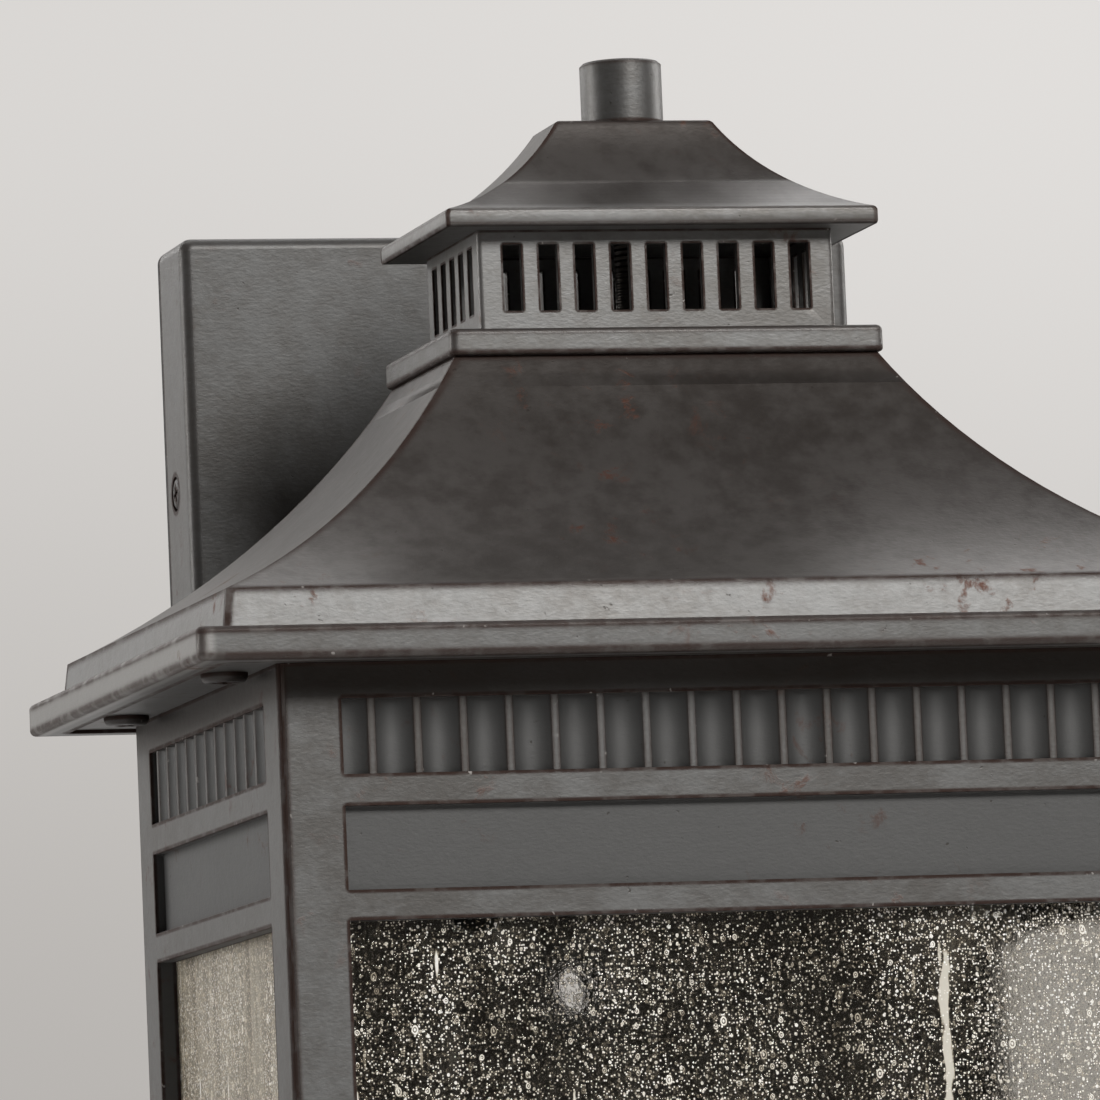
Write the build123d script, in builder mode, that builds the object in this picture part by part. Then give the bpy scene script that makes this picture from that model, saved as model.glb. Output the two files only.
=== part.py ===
"""Wall lantern with a louvred cupola, a two-step eave and a fluted frieze.

Millimetres. The wall is the plane y = 0 and the lantern stands out towards -Y.
X runs along the wall, Z is up, and the origin is the centre of the wall plate's seat.
"""
from build123d import *
import os

os.makedirs("parts", exist_ok=True)

# --- wall plate and its bracket -------------------------------------------------------
plate_width = 125.4          # across the wall
plate_height = 186.0
plate_depth = 19.6           # wall to the front of the plate
plate_wall = 3.0
plate_round = 2.4            # rolled front edge and corners
gasket_thickness = 1.0       # foam seal between the plate's rim and the wall
bracket_gauge = 1.6          # pressed steel channel
bracket_height = 124.0
bracket_depth = 13.0
bracket_fit = 0.3            # channel to plate, each side
wire_opening = 36.0          # hole in the channel for the supply wires
wire_opening_drop = 34.0     # its middle, below the plate's middle
box_spacing = 88.9           # screw holes of a round junction box
box_slot_length = 12.0
box_slot_width = 4.8
side_screw_rise = 47.7       # screws above and below the plate's middle
side_screw_depth = 8.0       # screws from the wall
side_screw_sink = 1.2        # head let into the plate's side
earth_screw_rise = 44.0

# --- lantern place and levels, going down from the knob -------------------------------
eave_bottom = 2.5            # underside of the roof's rim, above the origin
knob_height = 11.1
knob_diameter = 14.3
cupola_rise = 17.7
cupola_fascia = 2.95
louvre_height = 17.6
ring_thickness = 4.6
roof_rise = 43.4
eave_upper_height = 6.7
eave_upper_lean = 7.0        # degrees, upper step from upright
eave_lower_height = 5.7

# --- cupola, louvre box and ring -------------------------------------------------------
cupola_lap_x, cupola_lap_y = 6.7, 5.8           # cupola past the louvre box, each side
cupola_top_width, cupola_top_depth = 27.7, 15.4
cupola_sag = 2.7             # how far each face curves in
cupola_wall = 2.5
louvre_width, louvre_depth = 63.4, 37.4
louvre_wall = 1.6
slot_pitch = 6.41
slot_width = 3.34
slot_height = 11.5
slot_sill = 3.65             # ring to the foot of the slots
slots_front, slots_side = 9, 5
ring_lap_x, ring_lap_y = 6.85, 5.85            # ring past the louvre box, each side
ring_round = 1.4             # corners seen from above
ring_edge = 1.0

# --- main roof --------------------------------------------------------------------------
eave_width, eave_depth = 190.0, 144.1
eave_step_x, eave_step_y = 6.35, 5.45          # how far the upper step is set back
eave_corner = 1.3            # rounded corners seen from above
eave_round = 1.0             # rolled edges of the two steps
roof_top_inset_x, roof_top_inset_y = 1.05, 1.25    # roof's top inside the ring's edge
roof_sag = 5.0
roof_wall = 3.0
rim_width = 5.9              # lip round the soffit
soffit_recess = 0.6
soffit_thickness = 3.0
soffit_fit = 0.3             # soffit plate inside the rim, each side
soffit_screw_inset = 11.2    # from the eave's edge
soffit_screw_y = 40.35       # from the centre line, each way
boss_diameter = 9.0

# --- lantern body -----------------------------------------------------------------------
overhang_x, overhang_y = 16.3, 14.05           # eave past the walls
post_front, post_side = 10.7, 11.8             # corner posts beside the panels
wall_thickness = 3.4
corner_bevel = 1.2
frieze_drop = 6.05           # soffit to the head of the flutes
frieze_height = 12.6
frieze_sink = 0.35           # fillets between flutes, below the wall's face
flute_pitch = 7.87
flute_fillet = 1.2
flute_depth = 1.5
middle_rail = 5.35
panel_height = 13.9
panel_sink = 1.8
lower_rail = 5.1
window_height = 190.0
bottom_rail = 12.0
side_flute_start = 5.0       # front end of a side panel to its first flute's middle
flange_depth = 8.7           # inward flanges at the head and foot of each wall
flange_thickness = 3.0
flange_screw_x, flange_screw_y = 50.4, 37.1     # screws along the long and the short walls
flange_screw_inset = 1.8     # screws inside the walls
opening_margin_x, opening_margin_y = 13.7, 14.0     # walls to the hole in the soffit plate

# --- glass --------------------------------------------------------------------------------
glass_thickness = 3.0
glass_lap = 4.0              # glass behind the frame, each side
glass_fit = 0.3
clip_width = 8.0
clip_gauge = 0.8
clip_lap = 6.0               # clip over the edge of the glass
front_clip_x, side_clip_y = 45.0, 28.0
clip_bite = 2.2              # clip screws into the middle rail

# --- neck between plate and body ---------------------------------------------------------
neck_length = 20.4
neck_width, neck_height = 58.0, 68.0
neck_level = -46.0           # its middle, below the origin
neck_wall = 4.0
neck_lip = 5.0               # foot flange round the neck
neck_lip_thickness = 3.0
neck_bolt_x, neck_bolt_z = 40.0, 50.0          # bolt pattern, hole to hole
wire_hole = 14.0

# --- base and lampholder ------------------------------------------------------------------
base_step = 3.3              # base past the walls
base_upper_height = 6.5
base_foot_gap = 0.5          # foot to the heads of the base screws
base_foot_height = 5.5
base_floor = 4.0
base_rim = 5.0
drain_hole = 5.0
drain_reach = 46.7           # drain holes from the middle
holder_height = 45.0
holder_radius = 19.0
socket_radius = 14.6         # mouth of the ceramic body
socket_depth = 32.0
sleeve_thickness = 0.9
sleeve_height = 26.0
nipple_diameter = 10.0
cap_radius = 13.0            # screw cap of the lamp
cap_fit = 0.35
cap_height = 20.0
globe_radius = 30.0
globe_neck_radius = 12.8

# --- fasteners and fits ---------------------------------------------------------------------
m3, m4, m5 = 3.0, 4.0, 5.0
screw_fit = 0.1              # screw to its hole, on the radius
rod_fit = 0.3                # tie rod through the covers, on the radius

# --- worked-out sizes and levels ---------------------------------------------------------------
ring_width = louvre_width + 2 * ring_lap_x
ring_depth = louvre_depth + 2 * ring_lap_y
cupola_width = louvre_width + 2 * cupola_lap_x
cupola_depth = louvre_depth + 2 * cupola_lap_y
roof_top_width = ring_width - 2 * roof_top_inset_x
roof_top_depth = ring_depth - 2 * roof_top_inset_y
base_foot_inset = base_step + wall_thickness + flange_screw_inset + m3 + base_foot_gap
eave_step_width = eave_width - 2 * eave_step_x
eave_step_depth = eave_depth - 2 * eave_step_y
body_width = eave_width - 2 * overhang_x
body_depth = eave_depth - 2 * overhang_y
front_panel_width = body_width - 2 * post_front
side_panel_width = body_depth - 2 * post_side
opening_width = body_width - 2 * opening_margin_x
opening_depth = body_depth - 2 * opening_margin_y
base_width = body_width + 2 * base_step
base_depth = body_depth + 2 * base_step
soffit_screw_x = eave_width / 2 - soffit_screw_inset
axis_reach = plate_depth + neck_length + body_depth / 2       # wall to the centre line
eave_ledge = eave_bottom + eave_lower_height
roof_base = eave_ledge + eave_upper_height
roof_top = roof_base + roof_rise
ring_top = roof_top + ring_thickness
louvre_top = ring_top + louvre_height
cupola_base = louvre_top + cupola_fascia
cupola_top = cupola_base + cupola_rise
knob_top = cupola_top + knob_height
soffit_bottom = eave_bottom + soffit_recess
soffit_top = soffit_bottom + soffit_thickness
frieze_top = soffit_bottom - frieze_drop
panel_top = frieze_top - frieze_height - middle_rail
window_top = panel_top - panel_height - lower_rail
window_bottom = window_top - window_height
wall_bottom = window_bottom - bottom_rail
wall_height = soffit_bottom - wall_bottom
glass_top = window_top + glass_lap
clip_level = panel_top + middle_rail / 2
glass_foot = wall_bottom + flange_thickness
body_back = -axis_reach + body_depth / 2       # outside of the back wall
back_inside = body_back - wall_thickness
base_bottom = wall_bottom - base_upper_height - base_foot_height

# Planes through the lantern's centre line.
CENTRE = Plane(origin=(0, -axis_reach, 0))
FRONT = Plane(origin=(0, -axis_reach, 0), x_dir=(1, 0, 0), z_dir=(0, -1, 0))
SIDE = Plane(origin=(0, -axis_reach, 0), x_dir=(0, 1, 0), z_dir=(1, 0, 0))


def level(height):
    """Horizontal plane on the lantern's centre line."""
    return CENTRE.offset(height)


def concave_hip(base, top, base_z, rise, sag):
    """Roof block on a rectangle: two outlines with curved-in sides, one across, one front to back."""
    with BuildPart() as hip:
        for plane, axis, mode in ((FRONT, 0, Mode.ADD), (SIDE, 1, Mode.INTERSECT)):
            with BuildSketch(plane):
                with BuildLine():
                    right = SagittaArc((base[axis] / 2, base_z), (top[axis] / 2, base_z + rise), sag)
                    left = SagittaArc((-base[axis] / 2, base_z), (-top[axis] / 2, base_z + rise), -sag)
                    Line(right @ 0, left @ 0)
                    Line(right @ 1, left @ 1)
                make_face()
            extrude(amount=base[1 - axis], both=True, mode=mode)
    return hip.part


def pan_screws(plane, places, diameter, length):
    """Pan-head screws standing on a plane: heads outwards, shanks inwards."""
    height = 0.4 * diameter
    with BuildPart() as screws:
        with BuildSketch(plane):
            with Locations(*places):
                Circle(diameter)
        extrude(amount=height)
        rims = screws.edges().filter_by(GeomType.CIRCLE)
        crowns = rims.filter_by(lambda rim: plane.to_local_coords(rim.arc_center).Z > height / 2)
        chamfer(crowns, length=0.4 * height)
        with BuildSketch(plane):
            with Locations(*places):
                Circle(diameter / 2)
        extrude(amount=-length)
    return screws


def hex_nuts(plane, places, diameter):
    """Hexagon nuts standing on a plane, bored for their bolt."""
    with BuildPart() as nuts:
        with BuildSketch(plane):
            with Locations(*places):
                RegularPolygon(radius=0.92 * diameter, side_count=6)
                Circle(diameter / 2 + screw_fit, mode=Mode.SUBTRACT)
        extrude(amount=0.8 * diameter)
    return nuts


# ===== wall plate group ==========================================================================

# Foam seal on the plate's rim.
with BuildPart() as wall_gasket:
    with BuildSketch(Plane.XZ):
        RectangleRounded(plate_width, plate_height, plate_round)
        Rectangle(plate_width - 2 * plate_wall, plate_height - 2 * plate_wall, mode=Mode.SUBTRACT)
    extrude(amount=gasket_thickness)
wall_gasket.part.label = "wall_gasket"
export_step(wall_gasket.part, "parts/wall_gasket.step")

side_screw_places = [(-side_screw_depth, side_screw_rise), (-side_screw_depth, -side_screw_rise)]
neck_bolt_places = [
    (x * neck_bolt_x / 2, neck_level + z * neck_bolt_z / 2) for x in (-1, 1) for z in (-1, 1)
]

# Cast box plate, open towards the wall.
with BuildPart() as wall_plate:
    with BuildSketch(Plane.XZ.offset(gasket_thickness)):
        RectangleRounded(plate_width, plate_height, plate_round)
    extrude(amount=plate_depth - gasket_thickness)
    fillet(wall_plate.faces().sort_by(Axis.Y)[0].edges(), radius=plate_round - 0.2)
    with BuildSketch(Plane.XZ.offset(gasket_thickness)):
        Rectangle(plate_width - 2 * plate_wall, plate_height - 2 * plate_wall)
    extrude(amount=plate_depth - gasket_thickness - plate_wall, mode=Mode.SUBTRACT)
    with BuildSketch(Plane.XZ.offset(plate_depth)):
        with Locations(*neck_bolt_places):
            Circle(m5 / 2 + screw_fit)
        with Locations((0, neck_level)):
            Circle(wire_hole / 2)
    extrude(amount=-plate_wall, mode=Mode.SUBTRACT)
    with BuildSketch(Plane.YZ):
        with Locations(*side_screw_places):
            Circle(m3 / 2 + screw_fit)
    extrude(amount=plate_width, both=True, mode=Mode.SUBTRACT)
    for side_x, depth in ((plate_width / 2, -side_screw_sink), (-plate_width / 2, side_screw_sink)):
        with BuildSketch(Plane.YZ.offset(side_x)):
            with Locations(*side_screw_places):
                Circle(m3 + 0.2)
        extrude(amount=depth, mode=Mode.SUBTRACT)
wall_plate.part.label = "wall_plate"
export_step(wall_plate.part, "parts/wall_plate.step")

# Pressed channel that is screwed to the junction box; its flanges take the side screws.
bracket_width = plate_width - 2 * plate_wall - 2 * bracket_fit
with BuildPart() as mounting_bracket:
    with BuildSketch(Plane.XZ):
        Rectangle(bracket_width, bracket_height)
    extrude(amount=bracket_depth)
    bends = mounting_bracket.edges().filter_by(Axis.Z).group_by(Axis.Y)[-1]
    fillet(bends, radius=bracket_gauge + 0.6)
    with BuildSketch(Plane.XZ.offset(bracket_gauge)):
        Rectangle(bracket_width - 2 * bracket_gauge, bracket_height)
    extrude(amount=bracket_depth, mode=Mode.SUBTRACT)
    with BuildSketch(Plane.XZ):
        with Locations((0, -wire_opening_drop)):
            Circle(wire_opening / 2)
        with Locations((-box_spacing / 2, 0), (box_spacing / 2, 0)):
            SlotOverall(box_slot_length, box_slot_width)
        with Locations((0, earth_screw_rise)):
            Circle(m4 / 2 + screw_fit)
    extrude(amount=bracket_gauge, mode=Mode.SUBTRACT)
    with BuildSketch(Plane.YZ):
        with Locations(*side_screw_places):
            Circle(m3 / 2 + screw_fit)
    extrude(amount=plate_width, both=True, mode=Mode.SUBTRACT)
mounting_bracket.part.label = "mounting_bracket"
export_step(mounting_bracket.part, "parts/mounting_bracket.step")

# Screws through the plate's two sides, and the earth screw on the bracket.
right_screws = pan_screws(
    Plane.YZ.offset(plate_width / 2 - side_screw_sink), side_screw_places, m3, 8.0
)
with BuildPart() as side_screws:
    add(right_screws.part)
    mirror(about=Plane.YZ)
side_screws.part.label = "side_screws"
export_step(side_screws.part, "parts/side_screws.step")

earth_screw = pan_screws(
    Plane.XZ.offset(bracket_gauge), [(0, earth_screw_rise)], m4, bracket_gauge
)
earth_screw.part.label = "earth_screw"
export_step(earth_screw.part, "parts/earth_screw.step")

# Hollow cast neck, with a lip where it meets the plate and a boss round each bolt.
with BuildPart() as neck:
    with BuildSketch(Plane.XZ.offset(plate_depth)):
        with Locations((0, neck_level)):
            RectangleRounded(neck_width + 2 * neck_lip, neck_height + 2 * neck_lip, neck_lip)
    extrude(amount=neck_lip_thickness)
    with BuildSketch(Plane.XZ.offset(plate_depth)):
        with Locations((0, neck_level)):
            RectangleRounded(neck_width, neck_height, neck_lip)
    extrude(amount=neck_length)
    with BuildSketch(Plane.XZ.offset(plate_depth)):
        with Locations((0, neck_level)):
            RectangleRounded(neck_width - 2 * neck_wall, neck_height - 2 * neck_wall, 2)
    extrude(amount=neck_length, mode=Mode.SUBTRACT)
    with BuildSketch(Plane.XZ.offset(plate_depth)):
        with Locations(*neck_bolt_places):
            Circle(m5 + 1)
    extrude(amount=neck_length)
    with BuildSketch(Plane.XZ.offset(plate_depth)):
        with Locations(*neck_bolt_places):
            Circle(m5 / 2 + screw_fit)
    extrude(amount=neck_length, mode=Mode.SUBTRACT)
neck.part.label = "neck"
export_step(neck.part, "parts/neck.step")

bolt_length = neck_length + wall_thickness + plate_wall + m5
neck_bolts = pan_screws(Plane.XZ.offset(-back_inside), neck_bolt_places, m5, bolt_length)
neck_bolts.part.label = "neck_bolts"
export_step(neck_bolts.part, "parts/neck_bolts.step")

neck_nuts = hex_nuts(Plane.XZ.offset(plate_depth - plate_wall - 0.8 * m5), neck_bolt_places, m5)
neck_nuts.part.label = "neck_nuts"
export_step(neck_nuts.part, "parts/neck_nuts.step")

# Rubber grommet in the back wall, where the supply wires come through.
with BuildPart() as wire_grommet:
    with BuildSketch(Plane.XZ.offset(-back_inside - wall_thickness)):
        with Locations((0, neck_level)):
            Circle(wire_hole / 2)
    extrude(amount=wall_thickness)
    with BuildSketch(Plane.XZ.offset(-back_inside)):
        with Locations((0, neck_level)):
            Circle(wire_hole / 2 + 2.5)
    extrude(amount=2)
    with BuildSketch(Plane.XZ.offset(-body_back)):
        with Locations((0, neck_level)):
            Circle(wire_hole / 2 - 2.5)
    extrude(amount=wall_thickness + 2, mode=Mode.SUBTRACT)
wire_grommet.part.label = "wire_grommet"
export_step(wire_grommet.part, "parts/wire_grommet.step")

# ===== lantern body ==========================================================================

# Heading of each wall: where its outside faces, its length and its window's width.
WALLS = {
    "front": ((0, -1), body_width, body_depth, front_panel_width),
    "back": ((0, 1), body_width, body_depth, front_panel_width),
    "left": ((-1, 0), body_depth, body_width, side_panel_width),
    "right": ((1, 0), body_depth, body_width, side_panel_width),
}


# Places of the glass clips along each glazed wall.
clip_runs = {
    "front": (-front_clip_x, front_clip_x),
    "left": (-side_clip_y, side_clip_y),
    "right": (-side_clip_y, side_clip_y),
}


def wall_plan(side, height):
    """Plane on a wall's outer face: X along the wall, Y into the lantern."""
    (out_x, out_y), _, across, _ = WALLS[side]
    origin = (out_x * across / 2, -axis_reach + out_y * across / 2, height)
    return Plane(origin=origin, x_dir=(-out_y, out_x, 0), z_dir=(0, 0, 1))


def wall_face(side):
    """Plane on a wall's outer face: X along the wall, Y up."""
    (out_x, out_y), _, _, _ = WALLS[side]
    return Plane(origin=wall_plan(side, 0).origin, x_dir=(-out_y, out_x, 0), z_dir=(out_x, out_y, 0))


def flute_places(side):
    """Flute centres along a wall: centred on the front, and from the front edge on a side."""
    width = WALLS[side][3]
    if side == "front":
        count = int(width / 2 / flute_pitch) + 1
        return [(k + 0.5) * flute_pitch for k in range(-count, count)]
    turn = 1 if side == "left" else -1
    first = width / 2 - side_flute_start
    return [turn * (first - k * flute_pitch) for k in range(int(width / flute_pitch) + 1)]


def screw_row(side):
    """Places of the two screws in a wall's flange, along the wall and into it."""
    run = flange_screw_x if side in ("front", "back") else flange_screw_y
    return [(-run, wall_thickness + flange_screw_inset), (run, wall_thickness + flange_screw_inset)]


def cast_wall(side):
    """One mitred wall with its flanges, flutes, sunk panel and window."""
    half, width = WALLS[side][1] / 2, WALLS[side][3]
    head, foot = soffit_bottom - flange_thickness, wall_bottom
    lap = 0.9 * wall_thickness
    strips = [
        (foot, wall_height, corner_bevel / 2, wall_thickness),
        (head, flange_thickness, lap, flange_depth),
        (foot, flange_thickness, lap, flange_depth),
    ]
    if side != "back":
        channel = wall_thickness + glass_thickness + glass_fit
        strips.append((foot, flange_thickness + clip_lap, channel, flange_depth))
    chord = flute_pitch - flute_fillet
    hollow = (chord**2 / 4 + flute_depth**2) / (2 * flute_depth)
    with BuildPart() as wall:
        with BuildSketch(wall_plan(side, foot)):
            with BuildLine():
                Polyline((corner_bevel - half, 0), (half - corner_bevel, 0),
                         (half - corner_bevel / 2, corner_bevel / 2),
                         (corner_bevel / 2 - half, corner_bevel / 2), close=True)
            make_face()
        extrude(amount=wall_height)
        for base, height, near, far in strips:
            with BuildSketch(wall_plan(side, base)):
                with BuildLine():
                    Polyline((near - half, near), (half - near, near), (half - far, far),
                             (far - half, far), close=True)
                make_face()
            extrude(amount=height)
        if side != "back":
            with BuildSketch(wall_plan(side, frieze_top - frieze_height)):
                with Locations(*[(x, frieze_sink + flute_depth - hollow) for x in flute_places(side)]):
                    Circle(hollow)
                with Locations((0, frieze_sink / 2)):
                    Rectangle(width, frieze_sink)
                Rectangle(width, 4 * hollow, mode=Mode.INTERSECT)
            extrude(amount=frieze_height, mode=Mode.SUBTRACT)
            with BuildSketch(wall_face(side)):
                with Locations((0, panel_top - panel_height / 2)):
                    Rectangle(width, panel_height)
            extrude(amount=-panel_sink, mode=Mode.SUBTRACT)
            with BuildSketch(wall_face(side)):
                with Locations((0, window_top - window_height / 2)):
                    Rectangle(width, window_height)
            extrude(amount=-wall_thickness, mode=Mode.SUBTRACT)
            with BuildSketch(wall_face(side).offset(-wall_thickness)):
                with Locations(*[(along, clip_level) for along in clip_runs[side]]):
                    Circle(m3 / 2 + screw_fit)
            extrude(amount=clip_bite, mode=Mode.SUBTRACT)
        for base in (foot, head):
            with BuildSketch(wall_plan(side, base)):
                with Locations(*screw_row(side)):
                    Circle(m3 / 2 + screw_fit)
            extrude(amount=flange_thickness, mode=Mode.SUBTRACT)
        if side == "back":
            with BuildSketch(Plane.XZ.offset(-body_back)):
                with Locations(*neck_bolt_places):
                    Circle(m5 / 2 + screw_fit)
                with Locations((0, neck_level)):
                    Circle(wire_hole / 2)
            extrude(amount=wall_thickness, mode=Mode.SUBTRACT)
    return wall


front_wall = cast_wall("front")
front_wall.part.label = "front_wall"
export_step(front_wall.part, "parts/front_wall.step")

back_wall = cast_wall("back")
back_wall.part.label = "back_wall"
export_step(back_wall.part, "parts/back_wall.step")

left_wall = cast_wall("left")
left_wall.part.label = "left_wall"
export_step(left_wall.part, "parts/left_wall.step")

right_wall = cast_wall("right")
right_wall.part.label = "right_wall"
export_step(right_wall.part, "parts/right_wall.step")

flange_screw_places = []
for side in WALLS:
    plan = wall_plan(side, 0)
    for x, y in screw_row(side):
        spot = plan.from_local_coords((x, y, 0))
        flange_screw_places.append((spot.X, spot.Y + axis_reach))

# Soffit plate: closes the overhang, carries the roof's screws, open in the middle.
soffit_screw_places = [
    (x * soffit_screw_x, y * soffit_screw_y) for x in (-1, 1) for y in (-1, 1)
]
rim_inner_width = eave_width - 2 * rim_width
rim_inner_depth = eave_depth - 2 * rim_width
with BuildPart() as soffit_plate:
    with BuildSketch(level(soffit_bottom)):
        RectangleRounded(rim_inner_width - 2 * soffit_fit, rim_inner_depth - 2 * soffit_fit, eave_corner)
        RectangleRounded(opening_width, opening_depth, 6, mode=Mode.SUBTRACT)
        with Locations(*soffit_screw_places):
            Circle(m4 / 2 + screw_fit, mode=Mode.SUBTRACT)
        with Locations(*flange_screw_places):
            Circle(m3 / 2 + screw_fit, mode=Mode.SUBTRACT)
    extrude(amount=soffit_thickness)
soffit_plate.part.label = "soffit_plate"
export_step(soffit_plate.part, "parts/soffit_plate.step")

soffit_screws = pan_screws(
    Plane(origin=(0, -axis_reach, soffit_bottom), x_dir=(1, 0, 0), z_dir=(0, 0, -1)),
    [(x, -y) for x, y in soffit_screw_places], m4, soffit_thickness + 6.0
)
soffit_screws.part.label = "soffit_screws"
export_step(soffit_screws.part, "parts/soffit_screws.step")

flange_screws = pan_screws(
    level(soffit_top), flange_screw_places, m3, soffit_thickness + flange_thickness
)
flange_screws.part.label = "flange_screws"
export_step(flange_screws.part, "parts/flange_screws.step")

# Base: a step wider than the body, then a foot set back, hollow underneath.
with BuildPart() as base_plate:
    with BuildSketch(level(wall_bottom - base_upper_height)):
        RectangleRounded(base_width, base_depth, eave_corner)
    extrude(amount=base_upper_height)
    fillet(base_plate.faces().sort_by(Axis.Z)[-1].edges(), radius=eave_round)
    foot_width = base_width - 2 * base_foot_inset
    foot_depth = base_depth - 2 * base_foot_inset
    with BuildSketch(level(base_bottom)):
        RectangleRounded(foot_width, foot_depth, eave_corner)
    extrude(amount=base_foot_height)
    with BuildSketch(level(base_bottom)):
        RectangleRounded(foot_width - 2 * base_rim, foot_depth - 2 * base_rim, eave_corner)
    extrude(amount=wall_bottom - base_floor - base_bottom, mode=Mode.SUBTRACT)
    with BuildSketch(level(wall_bottom - base_upper_height - base_foot_height)):
        Circle(nipple_diameter / 2 + screw_fit)
        with Locations((-drain_reach, 0), (drain_reach, 0)):
            Circle(drain_hole / 2)
        with Locations(*flange_screw_places):
            Circle(m3 / 2 + screw_fit)
    extrude(amount=base_upper_height + base_foot_height, mode=Mode.SUBTRACT)
base_plate.part.label = "base_plate"
export_step(base_plate.part, "parts/base_plate.step")

base_screws = pan_screws(
    Plane(origin=(0, -axis_reach, wall_bottom - base_upper_height), x_dir=(1, 0, 0), z_dir=(0, 0, -1)),
    [(x, -y) for x, y in flange_screw_places], m3, base_upper_height + flange_thickness - 0.5
)
base_screws.part.label = "base_screws"
export_step(base_screws.part, "parts/base_screws.step")

# ===== glass ==================================================================================


def glass_pane(side):
    """Flat pane behind a window, standing in the glazing channel."""
    with BuildPart() as pane:
        with BuildSketch(wall_plan(side, glass_foot)):
            with Locations((0, wall_thickness + glass_thickness / 2)):
                Rectangle(WALLS[side][3] + 2 * glass_lap, glass_thickness)
        extrude(amount=glass_top - glass_foot)
    return pane


glass_front = glass_pane("front")
glass_front.part.label = "glass_front"
export_step(glass_front.part, "parts/glass_front.step")

glass_left = glass_pane("left")
glass_left.part.label = "glass_left"
export_step(glass_left.part, "parts/glass_left.step")

glass_right = glass_pane("right")
glass_right.part.label = "glass_right"
export_step(glass_right.part, "parts/glass_right.step")

# Spring clips: screwed to the middle rail, stepping over the head of each pane.
clip_places = [(side, along) for side in clip_runs for along in clip_runs[side]]
with BuildPart() as glass_clips:
    for side, along in clip_places:
        face = wall_face(side)
        edge = Plane(origin=face.from_local_coords((along, 0, 0)), x_dir=-face.z_dir, z_dir=face.x_dir)
        near = wall_thickness
        far = wall_thickness + glass_thickness
        knee = glass_top + 1.0
        tip = glass_top - clip_lap
        head = clip_level + m3 + 1.5
        with BuildSketch(edge):
            with BuildLine():
                Polyline((near, head), (near, knee), (far, knee), (far, tip),
                         (far + clip_gauge, tip), (far + clip_gauge, knee + clip_gauge),
                         (near + clip_gauge, knee + clip_gauge), (near + clip_gauge, head), close=True)
            make_face()
        extrude(amount=clip_width / 2, both=True)
        with BuildSketch(face.offset(-wall_thickness - clip_gauge)):
            with Locations((along, clip_level)):
                Circle(m3 / 2 + screw_fit)
        extrude(amount=clip_gauge, mode=Mode.SUBTRACT)
glass_clips.part.label = "glass_clips"
export_step(glass_clips.part, "parts/glass_clips.step")

with BuildPart() as clip_screws:
    for side, along in clip_places:
        face = wall_face(side).offset(-wall_thickness - clip_gauge)
        inward = Plane(origin=face.origin, x_dir=-face.x_dir, z_dir=-face.z_dir)
        add(pan_screws(inward, [(-along, clip_level)], m3, clip_gauge + clip_bite - 0.2).part)
clip_screws.part.label = "clip_screws"
export_step(clip_screws.part, "parts/clip_screws.step")

# ===== lampholder and lamp ====================================================================

holder_top = wall_bottom + holder_height
socket_floor = holder_top - socket_depth
sleeve_outer = socket_radius - 0.2

# Threaded tube and nut that hold the lampholder on the base.
with BuildPart() as lampholder_nipple:
    with BuildSketch(level(wall_bottom - base_floor - 6.0)):
        Circle(nipple_diameter / 2)
        Circle(nipple_diameter / 2 - 1.5, mode=Mode.SUBTRACT)
    extrude(amount=base_floor + 6.0 + 9.0)
lampholder_nipple.part.label = "lampholder_nipple"
export_step(lampholder_nipple.part, "parts/lampholder_nipple.step")

with BuildPart() as lampholder_nut:
    with BuildSketch(level(wall_bottom - base_floor - 4.0)):
        RegularPolygon(radius=8.5, side_count=6)
        Circle(nipple_diameter / 2 + screw_fit, mode=Mode.SUBTRACT)
    extrude(amount=4.0)
lampholder_nut.part.label = "lampholder_nut"
export_step(lampholder_nut.part, "parts/lampholder_nut.step")

# Glazed ceramic body, waisted, with a deep socket.
with BuildPart() as lampholder_body:
    with BuildSketch(FRONT):
        with BuildLine():
            foot = Polyline((nipple_diameter / 2 + screw_fit, wall_bottom), (holder_radius, wall_bottom),
                            (holder_radius, wall_bottom + 6))
            waist = SagittaArc(foot @ 1, (holder_radius, holder_top - 10), 1.8)
            Polyline(waist @ 1, (holder_radius, holder_top), (socket_radius, holder_top),
                     (socket_radius, socket_floor), (nipple_diameter / 2 + screw_fit, socket_floor),
                     foot @ 0)
        make_face()
    revolve(axis=Axis((0, -axis_reach, 0), (0, 0, 1)))
    with BuildSketch(level(wall_bottom + 9.5)):
        Circle(nipple_diameter / 2 + screw_fit)
    extrude(amount=socket_floor - wall_bottom - 9.5)
lampholder_body.part.label = "lampholder_body"
export_step(lampholder_body.part, "parts/lampholder_body.step")

# Screw sleeve and centre contact inside the ceramic body.
with BuildPart() as lampholder_sleeve:
    with BuildSketch(level(socket_floor)):
        Circle(sleeve_outer)
        Circle(sleeve_outer - sleeve_thickness, mode=Mode.SUBTRACT)
    extrude(amount=sleeve_height)
lampholder_sleeve.part.label = "lampholder_sleeve"
export_step(lampholder_sleeve.part, "parts/lampholder_sleeve.step")

with BuildPart() as lampholder_contact:
    with BuildSketch(level(socket_floor)):
        Rectangle(16, 5)
    extrude(amount=0.8)
    with BuildSketch(level(socket_floor)):
        Circle(3.5)
    extrude(amount=2.6)
lampholder_contact.part.label = "lampholder_contact"
export_step(lampholder_contact.part, "parts/lampholder_contact.step")

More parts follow.
